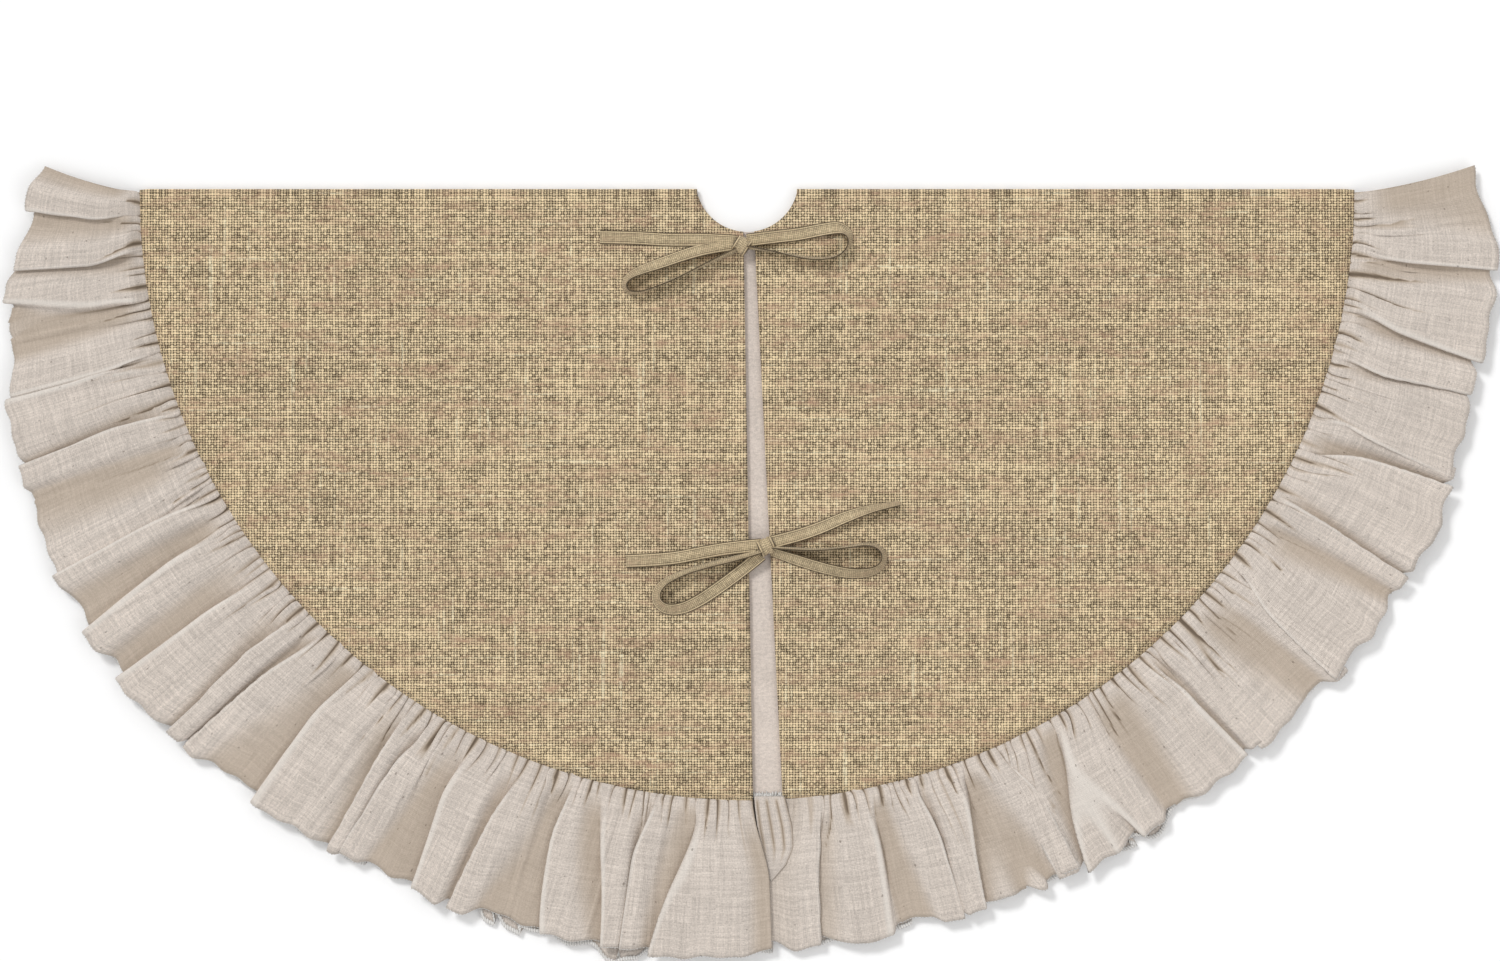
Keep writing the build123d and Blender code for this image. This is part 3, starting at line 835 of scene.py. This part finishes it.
def turned_end():
    """The end of the right ruffle beside the slit, folded back on itself into a tapering flap."""
    rows, columns = 40, 36
    v = np.linspace(0, 1, rows)[:, None]
    u = np.linspace(0, 1, columns)[None, :]
    seam_y = -FACE_RADIUS + 0.0035
    steps = (0, 0.35, 0.6, 0.8, 1.0)
    left_x = np.interp(v, steps, (.0060, .0090, .0125, .0155, .0185))
    right_x = np.interp(v, steps, (.0315, .0365, .0375, .0320, .0200))
    right_x = right_x + 0.002 * np.sin(math.pi * v)
    right_y = seam_y - 0.072 * v
    left_y = seam_y - 0.070 * v ** 0.9
    x = left_x * (1 - u) + right_x * u
    y = left_y * (1 - u) + right_y * u
    fan = 2 * math.pi * (u * 3.2 + 0.25)
    ridges = 0.0011 * (0.5 + 0.5 * np.cos(fan)) * smooth(v / 0.1) * (1 - smooth((v - 0.45) / 0.4))
    round_edge = np.sqrt(np.clip(1 - ((u - 0.72) / 0.28) ** 2, 0, 1)) * (u > 0.72)
    rolled = 0.0016 * round_edge + 0.0016 * (u <= 0.72) * u
    low = BACK_RUFFLE_TOP + 0.0036 - 0.0018 * (1 - smooth(v / 0.12))
    height = low + ridges + rolled * smooth(v / 0.15) * (1 - 0.7 * smooth((v - 0.85) / 0.15))
    piece = grid_piece("front_right_turned_end", spread(x, y, height), spread(0.045 * u, 0.075 * v),
                       material("ruffle_cloth"), flip=True)
    # Painted shade in the valleys between the flap's ridges and along its rolled edge.
    lines = (0.5 - 0.5 * np.cos(fan)) ** 3 * smooth(v / 0.06) * (1 - smooth((v - 0.5) / 0.4))
    rolled_edge_shade = np.exp(-((1 - u) / 0.05) ** 2) * 0.8
    point_attribute(piece, "painted_shading", np.maximum(lines * 0.8, rolled_edge_shade) + 0 * v)
    return piece


def seam_allowance():
    """Raw edge of the back seam, frayed and lumpy, seen at the foot of the slit."""
    rng = np.random.default_rng(9)
    count, around = 90, 12
    start, end = slit_edge_x(LEFT, -FACE_RADIUS) - 0.002, slit_edge_x(RIGHT, -FACE_RADIUS) + 0.002
    share = np.linspace(0, 1, count)
    centre = np.stack([start + (end - start) * share,
                       -FACE_RADIUS + 0.0035 + 0.0012 * ripple(share * 7, 4),
                       BACK_LINING_TOP + 0.0011 + 0.0004 * ripple(share * 9, 5)], axis=1)
    turn = np.linspace(0, 2 * math.pi, around + 1)
    size = 0.0011 + 0.0005 * ripple(share * 14, 6) + 0.0002 * rng.uniform(-1, 1, count)
    lumps = 1 + 0.25 * np.sin(5 * turn[None, :] + 60 * share[:, None])
    points = np.stack([centre[:, 0:1] + 0.0004 * np.sin(3 * turn)[None, :],
                       centre[:, 1:2] + (2.2 * size)[:, None] * np.cos(turn)[None, :] * lumps,
                       centre[:, 2:3] + size[:, None] * np.sin(turn)[None, :] * lumps], axis=-1)
    points[:, -1] = points[:, 0]
    uv = spread((end - start) * share[:, None], turn[None, :] * 0.001)
    piece = grid_piece("back_seam_allowance", points, uv, material("edge_thread"))
    close_ends(piece, 20)
    return piece


# ---------------------------------------------------------------- threads

def smoothed(rows, width):
    """Running mean of a line of vectors."""
    kernel = np.ones(width) / width
    padded = np.pad(rows, ((width // 2, width // 2), (0, 0)), mode="edge")
    return np.stack([np.convolve(padded[:, k], kernel, mode="valid") for k in range(3)], axis=1)


def unit(rows):
    return rows / np.linalg.norm(rows, axis=1)[:, None]


def overlock_piece(name, edge, inner, up_side):
    """Thread wrapped over a hem: a thin flat sleeve with a tooth at every stitch."""
    step = 0.0030
    lengths = lengths_along(edge)
    at = np.linspace(0, lengths[-1], int(lengths[-1] / (step / 4)))
    line = np.stack([np.interp(at, lengths, edge[:, k]) for k in range(3)], axis=1)
    back = np.stack([np.interp(at, lengths, inner[:, k]) for k in range(3)], axis=1)
    into = unit(smoothed(unit(back - line), 9))
    normal = np.zeros_like(into)
    normal[:, 2] = up_side
    normal = unit(normal - into * np.sum(normal * into, axis=1)[:, None])
    stitch = 0.5 + 0.5 * np.cos(2 * math.pi * at / step)
    reach = 0.0024 + 0.0010 * stitch
    puff = 0.00022 + 0.00018 * stitch
    tooth = 0.0002 + 0.0007 * stitch
    under = sizes().ruffle_cloth
    # Round the sleeve: shares of reach, tooth and puff, and the drop from the cloth's right side.
    profile = [(1.0, 0.0, 0.1, 0), (0.6, 0.0, 1.0, 0), (0.1, 0.0, 1.0, 0), (0.0, -1.0, 0.0, -0.5 * under),
               (0.1, 0.0, -1.0, -under), (0.6, 0.0, -1.0, -under), (1.0, 0.0, -0.1, -under)]
    rows = []
    for inward_share, tooth_share, out_share, drop in profile:
        shift = reach * inward_share + tooth * tooth_share
        rows.append(line + into * shift[:, None] + normal * (puff * out_share + drop)[:, None])
    points = np.stack(rows, axis=0)
    uv = spread(at, np.linspace(0, 1, len(profile))[:, None])
    return grid_piece(name, points, uv, material("edge_thread"))


def stitch_line(name, line, normal_up, cloth, length=0.0030, gap=0.0009, width=0.0006, height=0.0004):
    """A line of stitches: short raised threads with a dip between them, joined in one mesh."""
    lengths = lengths_along(line)
    count = int(lengths[-1] / (length + gap))
    starts = np.arange(count) * (length + gap)
    shares = np.array([0.0, 0.12, 0.5, 0.88, 1.0])
    ring = [(-1, 0), (-0.6, 0.8), (0.6, 0.8), (1, 0)]
    vertices, faces, uvs = [], [], []
    for start in starts:
        base = len(vertices)
        for share in shares:
            at = start + share * length
            here = np.array([np.interp(at, lengths, line[:, k]) for k in range(3)])
            ahead = np.array([np.interp(at + 1e-4, lengths, line[:, k]) for k in range(3)])
            along = ahead - here
            if np.linalg.norm(along) < 1e-9:
                along = here - np.array([np.interp(at - 1e-4, lengths, line[:, k]) for k in range(3)])
            along /= np.linalg.norm(along)
            side = np.cross(along, (0, 0, 1.0))
            swell = math.sin(math.pi * (0.12 + 0.76 * share))
            for across, up in ring:
                place = here + side * across * width / 2 * swell
                place = place + np.array([0, 0, normal_up * (up * height * swell - 0.00015)])
                vertices.append(tuple(place))
                uvs.append((at, (across + 1) / 2))
        for j in range(len(shares) - 1):
            for k in range(len(ring)):
                a, b = base + j * 4 + k, base + j * 4 + (k + 1) % 4
                faces.append((a, b, b + 4, a + 4))
        faces.append(tuple(base + k for k in (3, 2, 1, 0)))
        top = base + (len(shares) - 1) * 4
        faces.append(tuple(top + k for k in (0, 1, 2, 3)))
    mesh = bpy.data.meshes.new(name)
    mesh.from_pydata(vertices, [], faces)
    piece = finished_piece(name, mesh, np.array(uvs), material(cloth))
    work = bmesh.new()
    work.from_mesh(mesh)
    bmesh.ops.recalc_face_normals(work, faces=work.faces)
    work.to_mesh(mesh)
    work.free()
    return piece


# ---------------------------------------------------------------- ties

def spline_points(points):
    """Points along a smooth curve through a tie's chosen route."""
    curve = bpy.data.curves.new("route", "CURVE")
    curve.dimensions = "3D"
    spline = curve.splines.new("NURBS")
    spline.points.add(len(points) - 1)
    for control, place in zip(spline.points, points):
        control.co = (*place, 1.0)
    spline.order_u = 3
    spline.use_endpoint_u = True
    spline.resolution_u = 12
    holder = bpy.data.objects.new("route", curve)
    bpy.context.scene.collection.objects.link(holder)
    mesh = bpy.data.meshes.new_from_object(holder)
    line = np.array([v.co[:] for v in mesh.vertices])
    bpy.data.objects.remove(holder)
    bpy.data.curves.remove(curve)
    bpy.data.meshes.remove(mesh)
    return line


def tape_piece(name, points, rolls):
    """A flat folded tape along its route. rolls turn it about its length, in degrees, 0 lies flat."""
    s = sizes()
    line = spline_points(points)
    lengths = lengths_along(line)
    along = np.gradient(line, axis=0)
    along /= np.linalg.norm(along, axis=1)[:, None]
    side = np.cross(along, (0.0, 0.0, 1.0))
    side /= np.linalg.norm(side, axis=1)[:, None]
    up = np.cross(side, along)
    roll = np.radians(np.interp(lengths / lengths[-1], np.linspace(0, 1, len(rolls)), rolls))[:, None]
    across = side * np.cos(roll) + up * np.sin(roll)
    face = -side * np.sin(roll) + up * np.cos(roll)
    half, thick = s.tape_width / 2, s.tape_thickness / 2
    outline = [(-1.0, 0.35), (-0.93, 1.0), (-0.72, 0.75), (-0.45, 1.0), (0.45, 1.0), (0.72, 0.75), (0.93, 1.0),
               (1.0, 0.35), (1.0, -0.35), (0.93, -1.0), (0.72, -0.75), (0.45, -1.0), (-0.45, -1.0),
               (-0.72, -0.75), (-0.93, -1.0), (-1.0, -0.35)]
    rows = [line + across * half * a + face * thick * f for a, f in outline]
    rows.append(rows[0])
    points_grid = np.stack(rows, axis=0)
    shares = [(a + 1) / 2 for a, _ in outline]
    shares.append(shares[0])
    share_uv = np.array(shares)[:, None]
    piece = grid_piece(name, points_grid, spread(lengths, share_uv * s.tape_width), material("tie_cloth"))
    uv_layer(piece.data, "tape", spread(share_uv, lengths))
    close_ends(piece, 20)
    return piece, line, float(lengths[-1])


TIE_CLEARANCE = 0.0008  # tie to the face under it
TIE_AT_KNOT = 0.005  # height of a tie over the face where it goes into its knot

# Routes of the ties in metres, from the knot outward, as (x, y), with the roll at even steps.
TIES = {
    "upper_left_tail": ([(-.0090, -.0415), (-.0360, -.0395), (-.0660, -.0400), (-.0960, -.0380),
                         (-.1240, -.0375)], [6, 0, 4, 2, 5], "flat"),
    "upper_left_loop": ([(-.0090, -.0435), (-.0290, -.0460), (-.0510, -.0520), (-.0720, -.0595),
                         (-.0880, -.0650), (-.0990, -.0700), (-.1040, -.0770), (-.1010, -.0840),
                         (-.0920, -.0850), (-.0750, -.0790), (-.0530, -.0695), (-.0310, -.0585),
                         (-.0090, -.0485)], [-12, -18, -25, -30, -45, -70, -88, -95, -88, -80, -75], "loop"),
    "upper_right_loop": ([(0, -.0405), (.0220, -.0375), (.0440, -.0352), (.0640, -.0310),
                          (.0785, -.0290), (.0870, -.0355), (.0860, -.0465), (.0765, -.0540),
                          (.0600, -.0565), (.0410, -.0540), (.0200, -.0490), (0, -.0465)],
                         [4, 4, 6, 8, 16, 72, 98, 102, 98, 88, 80], "loop"),
    "lower_left_tail": ([(.0120, -.2970), (-.0120, -.2990), (-.0380, -.3035), (-.0680, -.3095),
                         (-.1020, -.3105)], [-8, -5, -4, -4, -8], "flat"),
    "lower_left_loop": ([(.0120, -.3010), (-.0100, -.3085), (-.0330, -.3140), (-.0560, -.3210),
                         (-.0725, -.3295), (-.0780, -.3410), (-.0710, -.3505), (-.0575, -.3515),
                         (-.0420, -.3450), (-.0240, -.3330), (-.0050, -.3190), (.0120, -.3050)],
                        [-60, -66, -70, -70, -62, -45, -28, -18, -12, -8, -8], "loop"),
    "lower_right_tail": ([(.0210, -.2945), (.0400, -.2900), (.0620, -.2825), (.0860, -.2720),
                          (.1120, -.2645), (.1290, -.2620)], [8, 10, 14, 30, 55, 72], "flat"),
    "lower_right_loop": ([(.0210, -.2985), (.0420, -.3005), (.0640, -.3010), (.0860, -.2985),
                          (.1030, -.2955), (.1145, -.3005), (.1160, -.3115), (.1075, -.3195),
                          (.0890, -.3215), (.0660, -.3170), (.0430, -.3100), (.0210, -.3025)],
                         [78, 80, 84, 84, 78, 66, 46, 36, 32, 36, 50], "loop"),
}


def build_tie(name):
    plan, rolls, kind = TIES[name]
    half = sizes().tape_width / 2
    count = len(plan)
    points = []
    for index, (x, y) in enumerate(plan):
        share = index / (count - 1)
        lean = abs(math.sin(math.radians(np.interp(share, np.linspace(0, 1, len(rolls)), rolls))))
        low = FACE_TOP + TIE_CLEARANCE + half * lean
        ends = 1 - smooth(min(share, 1 - share) / 0.12) if kind == "loop" else 1 - smooth(share / 0.2)
        points.append((x, y, low * (1 - ends) + ends * max(low, FACE_TOP + TIE_AT_KNOT)))
    piece, line, length = tape_piece(name + "_tape", points, rolls)
    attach(piece, "front")
    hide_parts(name)
    return piece


def build_knot(name, turn, length, width):
    """The knot: one tape wrapped tightly over the others, pinched at its waist and creased."""
    low, high = (Vector(corner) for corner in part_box(name))
    centre = (low + high) / 2
    tall = high.z - low.z
    angles = np.linspace(0, 2 * math.pi, 97)[:-1]
    grid = []
    for a in np.linspace(-1, 1, 33):
        waist = 0.86 + 0.14 * abs(a) ** 1.5
        shoulder = (1 - abs(a) ** 7) ** 0.5
        ring = []
        for t in angles:
            fold = 0.07 * math.sin(2 * t + 5 * a + 1) + 0.05 * math.sin(5 * t - 7 * a)
            groove = -0.10 * math.exp(-((a - 0.35 * math.sin(t + 0.6) - 0.1) / 0.11) ** 2)
            bulge = 1 + fold + groove
            along = a * length / 2
            side = math.cos(t) * width / 2 * waist * (0.25 + 0.75 * shoulder) * bulge
            up = math.sin(t) * tall * 0.46 * (0.3 + 0.7 * shoulder) * bulge
            x = along * math.cos(turn) - side * math.sin(turn)
            y = along * math.sin(turn) + side * math.cos(turn)
            ring.append((centre.x + x, centre.y + y, max(low.z + tall * 0.42 + up, FACE_TOP + 0.0002)))
        ring.append(ring[0])
        grid.append(ring)
    points = np.array(grid)
    along_uv, share = np.meshgrid(np.linspace(0, 0.034, points.shape[1]), np.linspace(0, 1, points.shape[0]))
    uv = np.stack([along_uv, share * width], axis=-1)
    piece = grid_piece(name + "_wrap", points, uv, material("tie_cloth"))
    uv_layer(piece.data, "tape", np.stack([share, along_uv], axis=-1))
    close_ends(piece, 120)
    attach(piece, "front")
    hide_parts(name)
    return piece


# ---------------------------------------------------------------- operators


class SKIRT_OT_face(bpy.types.Operator):
    """Make the face cloth: one sheet from slit edge to slit edge, bent round the fold"""
    bl_idname = "skirt.face"
    bl_label = "Face cloth"

    def execute(self, context):
        gap = FACE_TOP - HINGE_HEIGHT
        piece = folded_sheet("face_cloth_sheet", gap, sizes().cloth, "face_cloth", FACE_WAVES)
        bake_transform(piece)
        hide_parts("front_left_face", "front_right_face", "back_face")
        return {"FINISHED"}


class SKIRT_OT_lining(bpy.types.Operator):
    """Make the lining: one sheet inside the face cloth"""
    bl_idname = "skirt.lining"
    bl_label = "Lining"

    def execute(self, context):
        gap = FACE_UNDERSIDE - HINGE_HEIGHT - LINING_CLEARANCE
        piece = folded_sheet("lining_sheet", gap, sizes().lining, "lining_cloth", 0.0)
        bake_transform(piece)
        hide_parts("front_left_lining", "front_right_lining", "back_lining")
        return {"FINISHED"}


class SKIRT_OT_ruffles(bpy.types.Operator):
    """Make the gathered ruffles of both front quarters and of the back half, with their overlocked edges"""
    bl_idname = "skirt.ruffles"
    bl_label = "Ruffles"

    def execute(self, context):
        for side in (LEFT, RIGHT):
            word = SIDE_NAMES[side]
            piece, points, length, depth = front_ruffle(side)
            thicken(piece, sizes().ruffle_cloth)
            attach(piece, "front")
            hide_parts(f"front_{word}_ruffle")
            edge = overlock_piece(f"front_{word}_edge", points[-1], points[-3], 1)
            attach(edge, "front")
            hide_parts(f"front_{word}_overlock")
        flap = turned_end()
        thicken(flap, sizes().ruffle_cloth)
        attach(flap, "front")
        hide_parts("front_right_ruffle")
        allowance = seam_allowance()
        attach(allowance, "back")
        piece, points, length, depth = back_ruffle()
        thicken(piece, sizes().ruffle_cloth)
        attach(piece, "back")
        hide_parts("back_left_ruffle", "back_right_ruffle")
        edge = overlock_piece("back_edge", points[-1], points[-3], -1)
        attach(edge, "back")
        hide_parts("back_left_overlock", "back_right_overlock")
        return {"FINISHED"}


def stitch_route(node, front, height):
    """Points along one line of stitches, just inside the seam, the slit or the trunk hole."""
    side = LEFT if "left" in node else RIGHT
    if "slit" in node:
        ys = np.linspace(-sizes().hole_depth - 2 * STITCH_INSET, -FACE_RADIUS + 2 * STITCH_INSET, 60)
        return np.array([(slit_edge_x(side, y, STITCH_INSET), y, height) for y in ys])
    if "seam" in node:
        ring, centre_y = FACE_RADIUS - STITCH_INSET, 0.0
        fold = math.pi if side == LEFT else 2 * math.pi
        first = fold - side * STITCHES_TO_FOLD / ring
        last = 1.5 * math.pi
        if front:
            last = slit_corner(side, ring) % (2 * math.pi) + side * STITCH_INSET / ring
        angles, mirror = np.linspace(first, last, 400), 1
    else:
        ring, centre_y = hole_arc()
        ring += STITCH_INSET
        first = math.asin((-centre_y - STITCHES_TO_FOLD) / ring)
        if front:
            angles, mirror = np.linspace(first, -math.pi / 2 + 0.12, 60), side
        else:
            angles, mirror = np.linspace(first, -math.pi - first, 120), 1
    return spread(mirror * ring * np.cos(angles), centre_y + ring * np.sin(angles), height)


class SKIRT_OT_stitches(bpy.types.Operator):
    """Make the lines of stitches beside the ruffle seam, the slit and the trunk hole"""
    bl_idname = "skirt.stitches"
    bl_label = "Stitches"

    def execute(self, context):
        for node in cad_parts:
            if not node.endswith("_thread"):
                continue
            front = node.startswith("front")
            height = FACE_TOP if front else BACK_FACE_UNDERSIDE
            line = stitch_route(node, front, height)
            piece = stitch_line(node + "_stitches", line, 1 if front else -1, "sewing_thread")
            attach(piece, "front" if front else "back")
            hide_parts(node)
        return {"FINISHED"}


class SKIRT_OT_bows(bpy.types.Operator):
    """Tie the two bows that close the slit"""
    bl_idname = "skirt.bows"
    bl_label = "Bows"

    def execute(self, context):
        for name in TIES:
            build_tie(name)
        build_knot("upper_knot", math.radians(-32), 0.0135, 0.0150)
        build_knot("lower_knot", math.radians(24), 0.0145, 0.0155)
        return {"FINISHED"}


class SKIRT_OT_stage(bpy.types.Operator):
    """Set the pale floor, the soft lights and the camera straight above"""
    bl_idname = "skirt.stage"
    bl_label = "Floor, lights and camera"

    def execute(self, context):
        scene = context.scene
        bpy.ops.object.select_all(action="DESELECT")
        bpy.ops.mesh.primitive_plane_add(size=FLOOR_SIZE, location=(0, 0, 0))
        floor = context.object
        floor.name = "floor"
        n = Nodes("floor_paper")
        n.shader.inputs["Base Color"].default_value = PAPER_WHITE
        n.shader.inputs["Roughness"].default_value = 0.9
        floor.data.materials.append(n.material)

        world = bpy.data.worlds.new("studio")
        scene.world = world
        world.use_nodes = True
        background = world.node_tree.nodes["Background"]
        background.inputs["Color"].default_value = (1, 1, 1, 1)
        background.inputs["Strength"].default_value = SKY_STRENGTH

        def put(name, data, place, target=None):
            holder = bpy.data.objects.new(name, data)
            holder.location = place
            if target is not None:
                holder.rotation_euler = (Vector(target) - Vector(place)).to_track_quat("-Z", "Y").to_euler()
            scene.collection.objects.link(holder)
            return holder

        key = bpy.data.lights.new("key", "SUN")
        key.energy = KEY_STRENGTH
        key.angle = KEY_SPREAD
        put("key", key, KEY_FROM, (0, 0, 0))
        fill = bpy.data.lights.new("fill", "AREA")
        fill.size = FILL_SIZE
        fill.energy = FILL_POWER
        put("fill", fill, FILL_FROM, FILL_TO)

        camera = bpy.data.cameras.new("camera")
        camera.sensor_width = SENSOR_WIDTH
        camera.lens = SENSOR_WIDTH * CAMERA_PLACE[2] / WIDTH_SEEN
        scene.camera = put("camera", camera, CAMERA_PLACE)
        scene.view_settings.view_transform = "Standard"
        return {"FINISHED"}


class SKIRT_PT_panel(bpy.types.Panel):
    """Sizes, colours and the steps that build the skirt"""
    bl_idname = "SKIRT_PT_panel"
    bl_label = "Tree skirt"
    bl_space_type = "VIEW_3D"
    bl_region_type = "UI"
    bl_category = "Tree skirt"

    def draw(self, context):
        for group in (context.scene.skirt_sizes, context.scene.skirt_colours):
            for key in group.__annotations__:
                self.layout.prop(group, key)
        for step in STEPS:
            self.layout.operator(step.bl_idname)


STEPS = (SKIRT_OT_lining, SKIRT_OT_face, SKIRT_OT_ruffles, SKIRT_OT_stitches, SKIRT_OT_bows, SKIRT_OT_stage)
CLASSES = (SkirtSizes, SkirtColours, *STEPS, SKIRT_PT_panel)


def register():
    for cls in CLASSES:
        bpy.utils.register_class(cls)
    bpy.types.Scene.skirt_sizes = PointerProperty(type=SkirtSizes)
    bpy.types.Scene.skirt_colours = PointerProperty(type=SkirtColours)


def unregister():
    del bpy.types.Scene.skirt_colours
    del bpy.types.Scene.skirt_sizes
    for cls in reversed(CLASSES):
        bpy.utils.unregister_class(cls)


def main():
    register()
    bpy.ops.skirt.lining()
    bpy.ops.skirt.face()
    bpy.ops.skirt.ruffles()
    bpy.ops.skirt.stitches()
    bpy.ops.skirt.bows()
    bpy.ops.skirt.stage()


if __name__ == "__main__":
    main()
